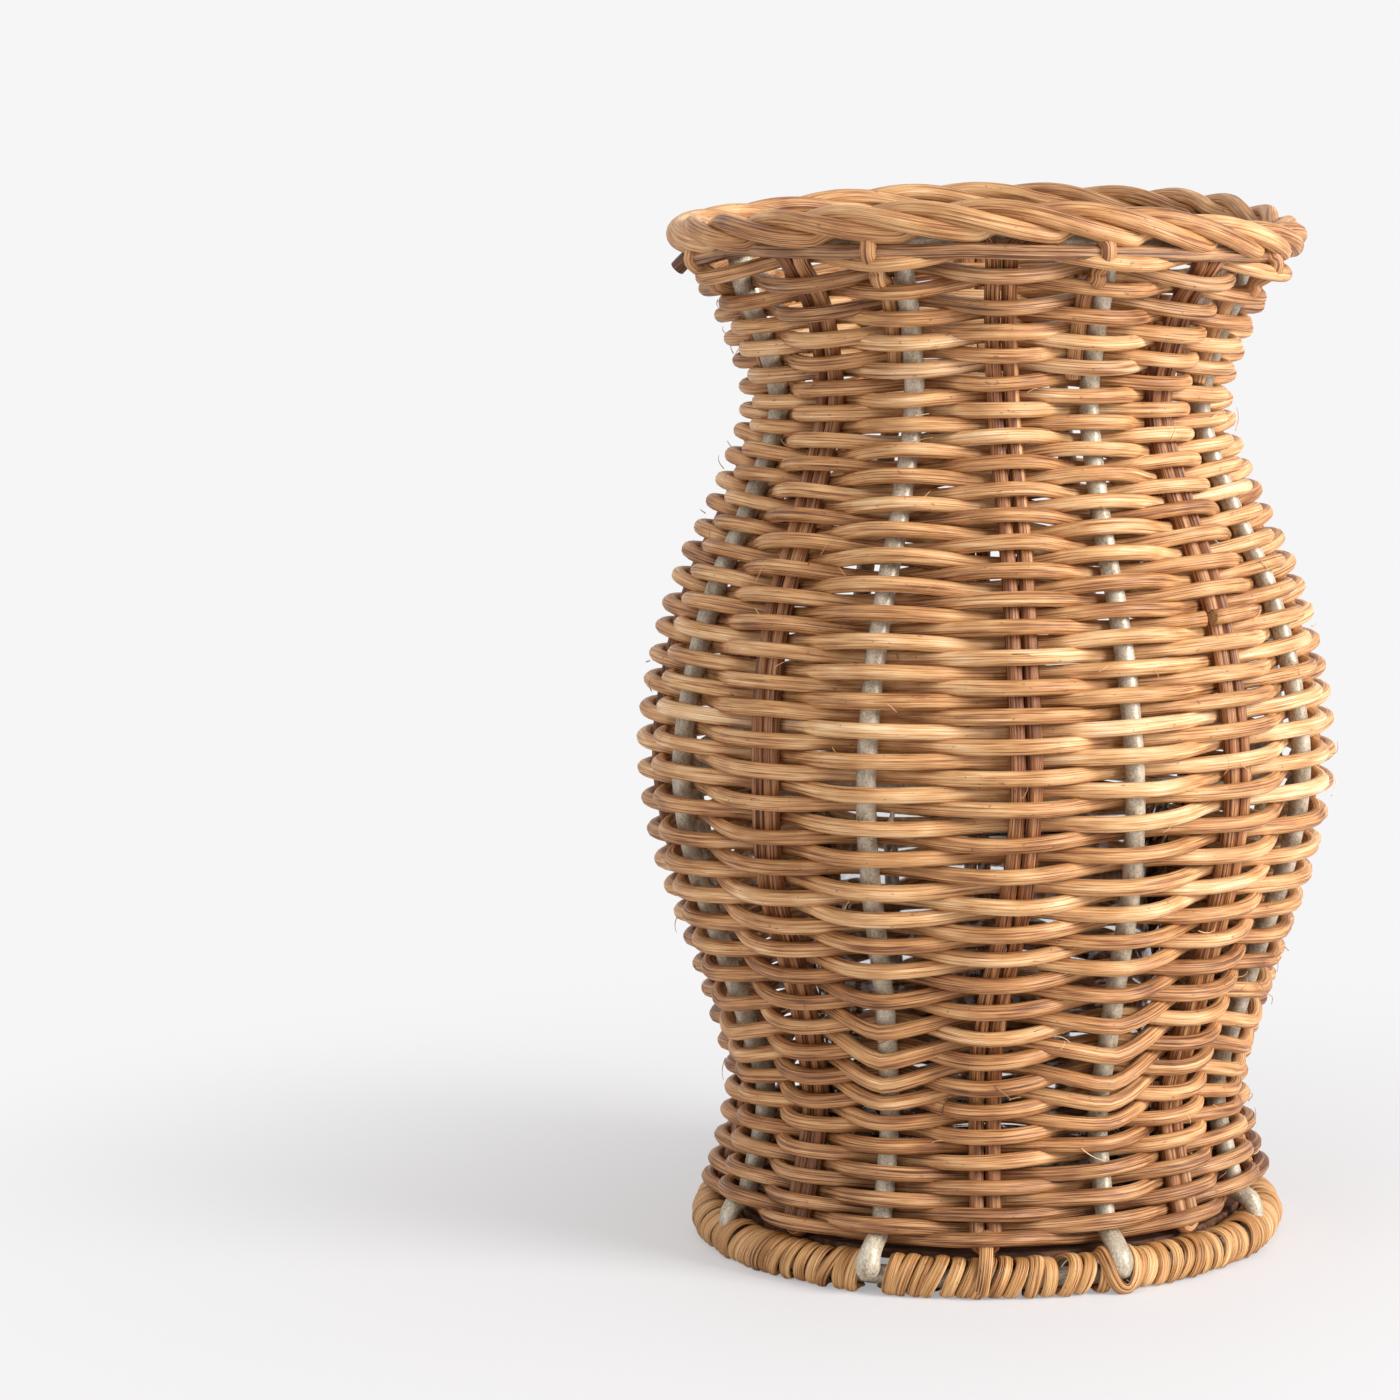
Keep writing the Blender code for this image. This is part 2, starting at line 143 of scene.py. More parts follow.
# One row of family a is redder: how much, its middle turn and its width in turns
RED_ROW = (0.5, 31.45, 0.35)

# Rope rim. It stands higher at the front and back, and has two more swells: height, and the
# middle and width in degrees
RIM_LIFT = 0.0034
RIM_SWELLS = ((0.0022, 176, 42), (0.0030, 30, 30))
RIM_RADIUS = 0.0639
RIM_HEIGHT = 0.2187
# A strand winds round the rope's middle at this distance, and by these angles
RIM_LAY_OUT = 0.0028
RIM_LAY_UP = 0.0023
RIM_STRAND_RADIUS = 0.00192
RIM_ENTRY = math.radians(215)
RIM_TWIST = math.radians(300)
RIM_RUN = math.radians(46)
RIM_SHIFT = math.radians(2.4)

# The stakes between their lowest point and the rope, and where they stand just under it
LEG_BOTTOM = 0.0112
LEG_TOP = 0.2110
SIDE_BOTTOM = 0.1880
STAKE_TOP = 0.2120
UNDER_ROPE_RADIUS = 0.0617
LEG_SPREAD_UNDER_ROPE = 0.0026
STAKE_SIDES = 16
STAKE_SAMPLES = 3
STAKE_SAMPLE_LENGTH = 0.0016

# Lashed base ring
BASE_RADIUS = 0.0600
BASE_HEIGHT = 0.5 * (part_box("base_ring")[0].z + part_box("base_ring")[1].z)
STRIP_TURNS = 14
STRIP_HALF_WIDTH = 0.00148
STRIP_HALF_THICKNESS = 0.00060
STRIP_LAY = ROD_RADIUS + 0.0012
# How far from the middle of a rod the lashing ends
LASHING_GAP_AT_BARE_FOOT = 0.0023
LASHING_GAP = 0.0002
# No strip reaches below this height
LOWEST = 0.00003

# Studio: the background's colour, and how strong it is to the camera and as light
WHITE = (1.0, 0.988, 0.993)
BACKGROUND = 0.93
SKY = 0.56
# The floor shows the background to this share beside the vase, and wholly at the second distance
FLOOR_GLOW = 0.36
SHADOW_REACH = (0.06, 0.30)
FLOOR_RADIUS = 12.0
# Lamps: name, place, size, power and colour
LAMPS = (
    ("key", (1.40, -0.70, 0.75), 0.8, 36.0, (1.0, 0.985, 0.975)),
    ("top", (-0.5, -0.9, 1.2), 0.9, 3.0, (1.0, 0.99, 0.97)),
    ("fill", (-1.3, -0.7, 0.35), 0.8, 2.2, (1.0, 0.99, 0.98)),
)
LAMP_TARGET = (0.0, 0.0, 0.11)
# Camera: the vase's axis is seen in this column of the image
FOCAL_PIXELS = 4512
IMAGE_WIDTH = 1400
AXIS_COLUMN = 987
CAMERA_PLACE = (0.0, -0.97, 0.2535)
CAMERA_TILT = math.radians(8.05)

VASE = "vase"
GLASS_INSERT = "glass_insert"


# Curves

def smooth(points, per_span):
    """A smooth run of points through the given ones."""
    points = np.asarray(points, float)
    ends = np.vstack([2 * points[0] - points[1], points, 2 * points[-1] - points[-2]])
    made = []
    for i in range(1, len(ends) - 2):
        a, b, c, d = ends[i - 1:i + 3]
        for t in np.arange(per_span) / per_span:
            made.append(
                0.5 * (2 * b + (c - a) * t + (2 * a - 5 * b + 4 * c - d) * t**2
                       + (3 * b - a - 3 * c + d) * t**3)
            )
    made.append(ends[-2])
    return np.array(made)


def ease(value, low, high):
    """0 below low and 1 above high, with a smooth step between."""
    share = np.clip((value - low) / (high - low), 0, 1)
    return share * share * (3 - 2 * share)


def hill(value, middle, width):
    """1 at the middle and near 0 further than about two widths from it."""
    return np.exp(-(((value - middle) / width) ** 2))


def angle_hill(angle, middle, width):
    """A hill round the vase, in radians."""
    away = (angle - middle + math.pi) % math.tau - math.pi
    return hill(away, 0.0, width)


def drift(seed, lengths, spacing):
    """Smooth random values from -1 to 1, with a new one every so many metres or turns."""
    values = np.random.default_rng(seed).uniform(-1, 1, int(np.max(lengths) / spacing) + 3)
    along = np.asarray(lengths) / spacing
    before = np.floor(along).astype(int)
    share = along - before
    share = share * share * (3 - 2 * share)
    return values[before] * (1 - share) + values[before + 1] * share


# The wall and its stakes

FINE_OUTLINE = smooth(OUTLINE, 12)
OUTLINE_SLOPES = np.gradient(FINE_OUTLINE[:, 1], FINE_OUTLINE[:, 0])


def wall_radius(height):
    return np.interp(height, FINE_OUTLINE[:, 0], FINE_OUTLINE[:, 1])


def wall_tilt(height):
    """The angle by which the wall faces down rather than straight out."""
    return np.arctan(np.interp(height, FINE_OUTLINE[:, 0], OUTLINE_SLOPES))


def rim_lift(angle, height):
    """The rim lies higher at the front and back than at the sides, and lowest at the right."""
    lift = -RIM_LIFT * np.cos(2 * angle)
    for rise, middle, width in RIM_SWELLS:
        lift = lift + rise * angle_hill(angle, math.radians(middle), math.radians(width))
    return lift * (height / RIM_HEIGHT) ** 4


def place(radius, angle, height):
    """Points round the axis, raised with the rim."""
    lifted = height + rim_lift(angle, height)
    return np.stack([radius * np.cos(angle), radius * np.sin(angle), lifted], axis=-1)


def wander(step, height):
    """How far a stake stands off its even place, as an angle."""
    shifts = WANDER.get(step)
    if shifts is None:
        source = np.random.default_rng(40 + step)
        loose = source.uniform(-LOOSE_WANDER, LOOSE_WANDER, len(WANDER_HEIGHTS))
        shifts = np.convolve(np.pad(loose, 1, mode="edge"), (0.25, 0.5, 0.25), mode="valid")
    knots = smooth(np.column_stack([WANDER_HEIGHTS, shifts]), 8)
    return MILLIMETRE * np.interp(height, knots[:, 0], knots[:, 1]) / wall_radius(height)


def stake_angle(step, height):
    """The angle of the stake at a whole step, which may be more than a turn on."""
    turn, step_in_turn = divmod(step, STAKE_STEPS)
    even = FIRST_ROD_ANGLE + STEP_ANGLE * step_in_turn + math.tau * turn
    return even + wander(step_in_turn, height)


ANGLE_HEIGHTS = np.linspace(0.0, 0.23, 60)
ANGLE_TABLE = np.array([stake_angle(step, ANGLE_HEIGHTS) for step in range(STAKE_STEPS)])


def angle_at(step, height):
    """The angle at a step that may lie between two stakes, at a height."""
    before = math.floor(step)
    pair = []
    for whole in (before, before + 1):
        turn, step_in_turn = divmod(whole, STAKE_STEPS)
        pair.append(np.interp(height, ANGLE_HEIGHTS, ANGLE_TABLE[step_in_turn]) + math.tau * turn)
    return pair[0] + (step - before) * (pair[1] - pair[0])


# Meshes

# The last faces of a tube are its caps, as many as caps says
Tube = namedtuple("Tube", "points faces grain tones browns caps")


def section_axes(centres, outward, closed):
    """Two directions across a tube at each centre: the one nearest to outward, and the other."""
    if closed:
        tangents = np.roll(centres, -1, 0) - np.roll(centres, 1, 0)
    else:
        tangents = np.gradient(centres, axis=0)
    tangents /= np.linalg.norm(tangents, axis=1)[:, None]
    outward = np.broadcast_to(outward, centres.shape)
    outward = outward - (outward * tangents).sum(1)[:, None] * tangents
    outward = outward / np.linalg.norm(outward, axis=1)[:, None]
    return outward, np.cross(tangents, outward)


def tube_faces(count, sides, closed):
    """Quads round a tube of so many rings of points, and the triangles of its caps. The middles
    of the caps are the two points after the last ring."""
    rings = np.arange(count if closed else count - 1)[:, None] * sides
    next_rings = (rings + sides) % (count * sides)
    here = np.arange(sides)[None, :]
    there = (here + 1) % sides
    quads = np.stack([rings + here, rings + there, next_rings + there, next_rings + here], axis=-1)
    caps = []
    if not closed:
        last = (count - 1) * sides
        for j in range(sides):
            caps.append([count * sides, (j + 1) % sides, j])
            caps.append([count * sides + 1, last + j, last + (j + 1) % sides])
    return quads.reshape(-1, 4).tolist(), caps


def tube(centres, outward, half_out, half_up, tone=0.0, brown=0.0, sides=CANE_SIDES,
         closed=False, seed=0):
    """A tube along the centres. Its section is half_out wide towards outward and half_up across
    that. It carries its grain's place, tone and brownness for the materials."""
    centres = np.asarray(centres, float)
    count = len(centres)
    outward, upward = section_axes(centres, outward, closed)
    turn = math.pi + math.tau * np.arange(sides) / sides
    across = np.broadcast_to(half_out, count)[:, None] * np.cos(turn)
    along = np.broadcast_to(half_up, count)[:, None] * np.sin(turn)
    points = (centres[:, None] + across[..., None] * outward[:, None]
              + along[..., None] * upward[:, None]).reshape(-1, 3)
    spans = np.linalg.norm(np.diff(centres, axis=0), axis=1)
    lengths = np.broadcast_to(np.concatenate([[0.0], np.cumsum(spans)])[:, None], across.shape)
    grain = np.stack([across, along, lengths], axis=-1).reshape(-1, 3)
    grain = grain + np.random.default_rng(seed).uniform(0, 5, 3)
    tones = np.repeat(np.broadcast_to(tone, count), sides)
    browns = np.repeat(np.broadcast_to(brown, count), sides)
    if not closed:
        points = np.vstack([points, centres[0], centres[-1]])
        grain = np.vstack([grain, grain[:sides].mean(0), grain[-sides:].mean(0)])
        tones = np.append(tones, [tones[0], tones[-1]])
        browns = np.append(browns, [browns[0], browns[-1]])
    quads, caps = tube_faces(count, sides, closed)
    return Tube(points, quads + caps, grain, tones, browns, len(caps))


def build_piece(name, tubes, materials):
    """One object from one or more tubes. Their caps take the second material, if there is one."""
    faces = []
    slots = []
    start = 0
    for made in tubes:
        faces += [[start + corner for corner in face] for face in made.faces]
        slots += [0] * (len(made.faces) - made.caps) + [1] * made.caps
        start += len(made.points)
    mesh = bpy.data.meshes.new(name)
    mesh.from_pydata(np.vstack([made.points for made in tubes]).tolist(), [], faces)
    for material in materials:
        mesh.materials.append(material)
    slots = np.array(slots, np.int32)
    mesh.polygons.foreach_set("use_smooth", slots == 0)
    mesh.polygons.foreach_set("material_index", np.minimum(slots, len(materials) - 1))
    grain = np.vstack([made.grain for made in tubes])
    mesh.attributes.new("grain", "FLOAT_VECTOR", "POINT").data.foreach_set("vector", grain.ravel())
    tones = np.concatenate([made.tones for made in tubes])
    browns = np.concatenate([made.browns for made in tubes])
    for label, values in (("tone", tones), ("brown", browns)):
        values = values.astype(np.float32)
        mesh.attributes.new(label, "FLOAT", "POINT").data.foreach_set("value", values)
    mesh.update()
    piece = bpy.data.objects.new(name, mesh)
    bpy.context.scene.collection.objects.link(piece)
    return piece


def dress(piece, slot, *nodes, body=VASE):
    """The piece takes the place of these nodes and moves with their body."""
    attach(piece, body)
    if nodes:
        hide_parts(*nodes)


def radial(centres):
    """The level direction away from the vase's axis at each point."""
    out = np.array(centres, float)
    out[:, 2] = 0
    return out / np.linalg.norm(out, axis=1)[:, None]


# Materials. Colours are sRGB, each part from 0 to 255

HONEY = (
    (0.00, (84, 46, 24)),
    (0.25, (146, 94, 56)),
    (0.50, (196, 142, 90)),
    (0.75, (228, 183, 131)),
    (1.00, (252, 225, 185)),
)
BROWN = (
    (0.00, (70, 40, 24)),
    (0.32, (122, 82, 54)),
    (0.60, (166, 122, 86)),
    (1.00, (214, 172, 132)),
)
RED = (
    (0.00, (74, 36, 18)),
    (0.35, (128, 76, 42)),
    (0.62, (170, 112, 68)),
    (1.00, (226, 176, 124)),
)
STRAW = (
    (0.00, (84, 48, 22)),
    (0.30, (168, 114, 62)),
    (0.60, (212, 160, 102)),
    (1.00, (248, 214, 162)),
)
SPECK = (96, 58, 34)
PITH = ((0.30, (92, 60, 36)), (0.55, (178, 134, 88)), (0.80, (206, 166, 116)))
BOARD = ((0.35, (62, 36, 22)), (0.55, (104, 66, 42)), (0.75, (136, 92, 60)))
COATING = (
    (0.34, (138, 123, 102)),
    (0.46, (178, 165, 143)),
    (0.58, (206, 195, 174)),
    (0.72, (230, 222, 205)),
)

# Sockets of a Mix node that mixes colours
MIX_FACTOR, MIX_FIRST, MIX_SECOND, MIX_RESULT = 0, 6, 7, 2


def new_material(name):
    """A material with its node tree and shader."""
    material = bpy.data.materials.new(name)
    material.use_nodes = True
    tree = material.node_tree
    return material, tree, tree.nodes["Principled BSDF"]


def noise(tree, vector, scale, stretch=(1.0, 1.0, 1.0), detail=2.0):
    """Noise over the vector, drawn out along the axes where stretch is small."""
    mapping = tree.nodes.new("ShaderNodeMapping")
    mapping.inputs["Scale"].default_value = stretch
    tree.links.new(vector, mapping.inputs["Vector"])
    texture = tree.nodes.new("ShaderNodeTexNoise")
    texture.inputs["Scale"].default_value = scale
    texture.inputs["Detail"].default_value = detail
    tree.links.new(mapping.outputs["Vector"], texture.inputs["Vector"])
    return texture.outputs["Fac"]


def attribute(tree, name, output):
    node = tree.nodes.new("ShaderNodeAttribute")
    node.attribute_name = name
    return node.outputs[output]


def object_place(tree):
    """Where a point lies on its object."""
    return tree.nodes.new("ShaderNodeTexCoord").outputs["Object"]


def spread(tree, value, low, high):
    """0 below low and 1 above high, with a smooth step between."""
    node = tree.nodes.new("ShaderNodeMapRange")
    node.interpolation_type = "SMOOTHSTEP"
    node.inputs["From Min"].default_value = low
    node.inputs["From Max"].default_value = high
    tree.links.new(value, node.inputs["Value"])
    return node.outputs["Result"]


def maths(tree, operation, *values):
    """A Math node over numbers and sockets."""
    node = tree.nodes.new("ShaderNodeMath")
    node.operation = operation
    for socket, value in zip(node.inputs, values):
        if isinstance(value, (int, float)):
            socket.default_value = value
        else:
            tree.links.new(value, socket)
    return node.outputs[0]


def linear(colour):
    """An sRGB colour as the renderer's own, with full alpha."""
    parts = [part / 255 for part in colour]
    return (*[part / 12.92 if part <= 0.04045 else ((part + 0.055) / 1.055) ** 2.4
              for part in parts], 1.0)


def ramp(tree, factor, stops):
    """A colour ramp. Each stop is a place from 0 to 1 and a colour."""
    node = tree.nodes.new("ShaderNodeValToRGB")
    elements = node.color_ramp.elements
    while len(elements) < len(stops):
        elements.new(0.5)
    for element, (spot, colour) in zip(elements, stops):
        element.position = spot
        element.color = linear(colour)
    tree.links.new(factor, node.inputs["Fac"])
    return node.outputs["Color"]


def blend_colours(tree, factor, first, second):
    """From the first colour to the second, which may be given as a plain colour."""
    node = tree.nodes.new("ShaderNodeMix")
    node.data_type = "RGBA"
    tree.links.new(factor, node.inputs[MIX_FACTOR])
    tree.links.new(first, node.inputs[MIX_FIRST])
    if isinstance(second, tuple):
        node.inputs[MIX_SECOND].default_value = linear(second)
    else:
        tree.links.new(second, node.inputs[MIX_SECOND])
    return node.outputs[MIX_RESULT]


def add_relief(tree, shader, height, strength, depth):
    """Relief too fine for the mesh."""
    node = tree.nodes.new("ShaderNodeBump")
    node.inputs["Strength"].default_value = strength
    node.inputs["Distance"].default_value = depth
    tree.links.new(height, node.inputs["Height"])
    tree.links.new(node.outputs["Normal"], shader.inputs["Normal"])


def cane_material(name, stops, dark_stops, line_share, line_scale, streak_share=0.8,
                  brown_streaks=0.0, ridge=0.5):
    """Rattan: dark grain lines along the cane, broader streaks and patches, and dark specks."""
    patch_share = 0.6
    fine_share = 0.7 * line_share
    line_depth = -0.22 * line_share
    plain_value = 0.25
    material, tree, shader = new_material(name)
    on_cane = attribute(tree, "grain", "Vector")
    tone = attribute(tree, "tone", "Fac")
    brown = attribute(tree, "brown", "Fac")
    lines = noise(tree, on_cane, line_scale, (1.0, 1.0, 0.012))
    fine = noise(tree, on_cane, 1.6 * line_scale, (1.0, 1.0, 0.03))
    streaks = noise(tree, on_cane, 0.42 * line_scale, (1.0, 1.0, 0.05))
    patches = noise(tree, on_cane, 200, (1.0, 1.0, 0.5))
    streak_gain = maths(tree, "MULTIPLY_ADD", brown, brown_streaks, streak_share)
    streaks = maths(tree, "SUBTRACT", streaks, 0.5)
    value = maths(tree, "MULTIPLY_ADD", streaks, streak_gain, tone)
    value = maths(tree, "MULTIPLY_ADD", patches, patch_share, value)
    value = maths(tree, "MULTIPLY_ADD", fine, fine_share, value)
    value = maths(tree, "SUBTRACT", value, 0.5 * fine_share - plain_value)
    # The lines are twice as dark on the brownest cane
    dark_lines = spread(tree, lines, 0.50, 0.62)
    depth = maths(tree, "MULTIPLY_ADD", brown, line_depth, line_depth)
    value = maths(tree, "MULTIPLY_ADD", dark_lines, depth, value)
    colour = blend_colours(tree, brown, ramp(tree, value, stops), ramp(tree, value, dark_stops))
    specks = spread(tree, noise(tree, on_cane, 1000, (1.0, 1.0, 0.7), detail=1.0), 0.70, 0.78)
    colour = blend_colours(tree, maths(tree, "MULTIPLY", specks, 0.5), colour, SPECK)
    tree.links.new(colour, shader.inputs["Base Color"])
    shader.inputs["Roughness"].default_value = 0.46
    shader.inputs["Specular IOR Level"].default_value = 0.4
    add_relief(tree, shader, maths(tree, "MULTIPLY_ADD", lines, -1.0, fine), ridge, 0.0003)
    return material


def cut_material():
    """The pale, dotted pith of a cut cane."""
    material, tree, shader = new_material("Cut cane")
    dots = noise(tree, attribute(tree, "grain", "Vector"), 3000)
    tree.links.new(ramp(tree, dots, PITH), shader.inputs["Base Color"])
    shader.inputs["Roughness"].default_value = 0.8
    return material


def steel_material():
    """Grey-beige mottled powder coat with a pearly gloss."""
    material, tree, shader = new_material("Powder-coated steel")
    on_rod = attribute(tree, "grain", "Vector")
    fine = noise(tree, on_rod, 2400, detail=3.0)
    broad = noise(tree, on_rod, 420, (1.0, 1.0, 0.6))
    value = maths(tree, "MULTIPLY_ADD", broad, 0.5, maths(tree, "MULTIPLY", fine, 0.5))
    value = maths(tree, "ADD", value, attribute(tree, "tone", "Fac"))
    tree.links.new(ramp(tree, value, COATING), shader.inputs["Base Color"])
    shader.inputs["Roughness"].default_value = 0.40
    shader.inputs["Metallic"].default_value = 0.15
    add_relief(tree, shader, fine, 0.25, 0.0002)
    return material


def glass_material():
    """Clear glass with a faint ripple."""
    material, tree, shader = new_material("Clear glass")
    shader.inputs["Base Color"].default_value = (0.97, 0.985, 0.98, 1.0)
    shader.inputs["Roughness"].default_value = 0.02
    shader.inputs["IOR"].default_value = 1.5
    shader.inputs["Transmission Weight"].default_value = 1.0
    add_relief(tree, shader, noise(tree, object_place(tree), 45), 0.05, 0.0005)
    return material


def board_material():
    """Brown board with fine level grain."""
    material, tree, shader = new_material("Brown board")
    grain = noise(tree, object_place(tree), 900, (0.08, 1.0, 1.0), detail=3.0)
    tree.links.new(ramp(tree, grain, BOARD), shader.inputs["Base Color"])
    shader.inputs["Roughness"].default_value = 0.7
    return material


# Steel frame

def build_rods(steel):
    """Rods from the outside of the base ring up the wall to the top ring."""
    low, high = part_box("top_ring")
    ring_radius = high.x - ROD_RADIUS
    ring_height = (low.z + high.z) / 2
    heights = np.linspace(*ROD_WALL, 60)
    bend_radius, bend_height = ROD_BEND
    for index in range(ROD_COUNT):
        step = 2 * index
        bare = step in FRONT_RODS
        foot = BARE_FOOT if bare else WRAPPED_FOOT
        foot_angle = stake_angle(step, FOOT_HEIGHT)
        centres = [place(radius, foot_angle, height) for radius, height in foot]
        centres += [place(wall_radius(h), stake_angle(step, h), h) for h in heights]
        top = stake_angle(step, ROD_TOP)
        centres += [
            place(bend_radius, top, bend_height),
            place(ring_radius, top, ring_height - ROD_RADIUS),
        ]
        centres = smooth(centres, 2)
        rise = centres[:, 2]
        swell = WELD_SWELL if bare else 0.0
        radii = ROD_RADIUS + swell * hill(rise, *WELD)
        # The end of the foot is rounded, and the rod is a little darker near the table, which is
        # painted shade
        radii[:2] *= (0.70, 0.93)
        tone = -0.03 * np.exp(-rise / 0.02)
        rod = tube(centres, radial(centres), radii, radii, tone=tone, sides=ROD_SIDES, seed=index)
        piece = build_piece(f"steel_rod_{index + 1}", [rod], [steel])
        dress(piece, "powder_coated_steel", f"frame_rod_{index + 1}")


def build_ring(name, node, steel):
    low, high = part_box(node)
    angles = math.tau * np.arange(120) / 120
    centres = place(high.x - ROD_RADIUS, angles, (low.z + high.z) / 2)
    ring = tube(centres, radial(centres), ROD_RADIUS, ROD_RADIUS, sides=ROD_SIDES, closed=True,
                seed=90)
    dress(build_piece(name, [ring], [steel]), "powder_coated_steel", node)


def build_tie_wire(steel):
    """A thin wire round the belly hoop beside a rod, its end bent down into a small bead."""
    low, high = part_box("belly_hoop")
    hoop = high.x - ROD_RADIUS
    height = (low.z + high.z) / 2
    reach = ROD_RADIUS + TIE_WIRE_RADIUS
    loop = [place(hoop + reach * math.cos(turn), TIE_WIRE_ANGLE, height + reach * math.sin(turn))
            for turn in np.linspace(math.radians(-60), math.radians(250), 12)]
    tail = [
        place(0.0668, TIE_WIRE_ANGLE, height - 0.0014),
        place(0.0696, TIE_WIRE_ANGLE, height - 0.0044),
        place(0.0706, TIE_WIRE_ANGLE - math.radians(0.4), height - 0.0072),
    ]
    bead = (0.0007, 0.0012, 0.0013, 0.0011, 0.0005)
    centres = smooth(loop[::-1] + tail, 4)
    radii = np.full(len(centres), TIE_WIRE_RADIUS)
    radii[-len(bead):] = bead
    wire = tube(centres, radial(centres), radii, radii, tone=0.08, sides=12, seed=95)
    dress(build_piece("steel_tie_wire", [wire], [steel]), "powder_coated_steel")


# Weavers

def climb(turns):
    """A weaver's height after so many turns: level at the start, then a pitch a turn to the end,
    where it stays level."""
    per_turn = 64
    grid = [FIRST_ROW]
    while grid[-1] < LEVEL_END:
        grid.append(grid[-1] + np.interp(grid[-1], PITCH_HEIGHTS, PITCHES) / per_turn)
    rising = np.interp(turns, np.arange(len(grid)) / per_turn, grid)
    level = LEVEL_START + (FIRST_ROW - LEVEL_START) * np.clip(1 + turns, 0, 1) ** 3
    return np.where(turns < 0, level, rising)


def last_turn_share(family, steps):
    """1 on the last turn of family a, which lies outside all stakes under the rope."""
    if family == "b":
        return 0.0
    start, outside, back, end = LAST_TURN
    return ease(steps, start, outside) * (1 - ease(steps, back, end))


def weaver_offset(family, steps, last_turn):
    """How far a weaver stands outside the stakes' line."""
    out_at_rod = ROD_RADIUS + CANE_HALF_WIDTH + CANE_GAP_AT_ROD
    out_at_pair = LEG_RADIUS + CANE_HALF_WIDTH + CANE_GAP_AT_PAIR
    phase = np.cos(math.pi * steps)
    offset = (out_at_rod - out_at_pair) / 2 + (out_at_rod + out_at_pair) / 2 * phase
    if family == "b":
        return -offset
    angles = FIRST_ROD_ANGLE + STEP_ANGLE * steps
    outside = out_at_rod - LAST_TURN_NARROWING * np.cos(angles) ** 2
    return offset * (1 - last_turn) + outside * last_turn


def weaver_sag(family, steps, heights, angles, last_turn):
    """How far a weaver lies above its even height, at the waist, high up and under the rope."""
    waist = hill(heights, *WAIST)
    if family == "b":
        wave, drop = 0.0006, 0.0009
        return wave * waist * np.cos(math.pi * steps) - drop * hill(heights, *HIGH_ROWS)
    # A sharp dip over each rod at the waist
    right_dip, left_dip = 0.0040, 0.0034
    cusp = np.clip(1.05 - np.sqrt(np.sin(math.pi * steps / 2) ** 2 + 0.018), 0, 1) ** 1.3
    dip = np.where(np.cos(angles) > 0, right_dip * waist, left_dip * hill(heights, *LEFT_WAIST))
    # The last turn lies closer to the rope, most of all at the sides
    rise, left_rise, right_rise = 0.0024, 0.0036, 0.0024
    left = np.clip(-np.cos(angles), 0, 1) ** 2
    right = np.clip(np.cos(angles), 0, 1) ** 2
    return last_turn * (rise + left_rise * left + right_rise * right) - dip * cusp


def weaver_path(family, steps, heights, outside_share, arc):
    """A weaver's centre line, and the way that its outside faces."""
    over_rods = family == "a"
    angles = np.array([angle_at(step, height) for step, height in zip(steps, heights)])
    last_turn = last_turn_share(family, steps)
    offset = weaver_offset(family, steps, last_turn)
    # A cane that starts on the outside lies a little over the end of the one before it
    start_lift = END_LIFT * max(0.0, outside_share[0])
    offset = offset + start_lift * np.exp(-(steps - steps[0]) / END_LIFT_STEPS)
    tilt = wall_tilt(heights)
    lean = tilt * np.where(tilt > 0, DOWN_LEAN + (1 - DOWN_LEAN) * last_turn, UP_LEAN)
    offset = offset / np.cos(tilt - lean)
    sag = weaver_sag(family, steps, heights, angles, last_turn)
    jitter = 0.00028 * drift(7 + over_rods, arc, 0.014) + 0.00025 * drift(17 + over_rods, arc, 0.06)
    radius = wall_radius(heights + sag) + offset * np.cos(lean)
    level = heights - offset * np.sin(lean) + jitter + sag
    level_out = np.cos(tilt)
    outward = np.stack(
        [np.cos(angles) * level_out, np.sin(angles) * level_out, -np.sin(tilt)], axis=-1
    )
    return place(radius, angles, level), outward


def weaver_brown(family, turns):
    """How brown a weaver is: more in the lowest and the highest rows."""
    share, start, end = HIGH_BROWN[family]
    brown = share * ease(turns, start, end) + LOW_BROWN * (1 - ease(turns, *LOW_BROWN_TURNS))
    if family == "a":
        share, middle, width = RED_ROW
        brown = brown + share * hill(turns, middle, width)
    return brown


def weaver_tube(family, first, last, seed):
    """A weaver from one step round the stakes to another."""
    over_rods = family == "a"
    steps = np.arange(first, last + 0.5 / SAMPLES_PER_STEP, 1 / SAMPLES_PER_STEP)
    turns = steps / STAKE_STEPS + (0.5 if over_rods else 0.0)
    heights = climb(turns)
    outside_share = np.cos(math.pi * steps) * (1 if over_rods else -1)
    arc = (steps - CANE_ENDS[family][0]) * STEP_ANGLE * ARC_RADIUS
    centres, outward = weaver_path(family, steps, heights, outside_share, arc)
    # Where it crosses the other family it is squeezed flatter, to fit between the rows
    pitch = np.interp(heights, PITCH_HEIGHTS, PITCHES)
    squeezed = np.minimum(CANE_HALF_HEIGHT, 0.25 * pitch + 0.00022)
    full = np.minimum(CANE_HALF_HEIGHT, 0.36 * pitch)
    half_up = squeezed + (full - squeezed) * np.abs(outside_share) ** 0.8
    thickness = 1 + 0.07 * drift(27 + over_rods, arc, 0.09)
    tone = np.random.default_rng(seed).uniform(-0.06, 0.06)
    # Random tone along the cane, plus painted shade and light by height
    tone = tone + 0.15 * drift(47 + over_rods, arc, 0.13) + np.interp(heights, SHADE_TONE_HEIGHTS, SHADE_TONES)
    return tube(centres, outward, CANE_HALF_WIDTH * thickness, half_up * thickness, tone=tone,
                brown=weaver_brown(family, turns), seed=seed)


